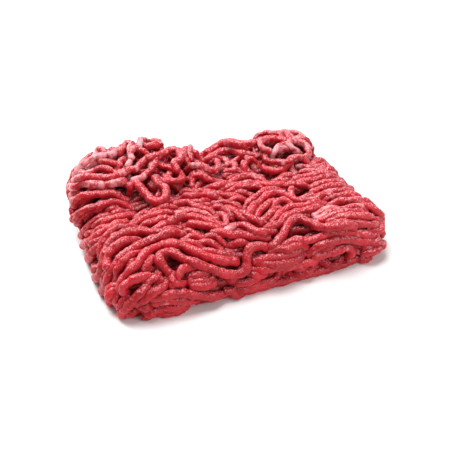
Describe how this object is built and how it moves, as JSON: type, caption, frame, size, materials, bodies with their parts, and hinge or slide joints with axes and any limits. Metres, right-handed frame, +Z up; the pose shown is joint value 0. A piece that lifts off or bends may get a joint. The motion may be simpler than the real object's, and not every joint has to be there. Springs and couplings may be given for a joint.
{
  "type": "minced beef block",
  "caption": "Rounded slab of raw minced beef strands lying side by side, with low piles of curled strands at the back, flat underneath.",
  "frame": {"origin": "middle of the flat underside of the block's box", "axes": "+X to the right along the longest side, +Y to the back, +Z up"},
  "size_m": [0.1556, 0.1248, 0.0414],
  "materials": {
    "raw_beef": "moist red lean meat flecked with pale fat"
  },
  "bodies": {
    "root": {"mince_block": "raw_beef"}
  },
  "joints": []
}
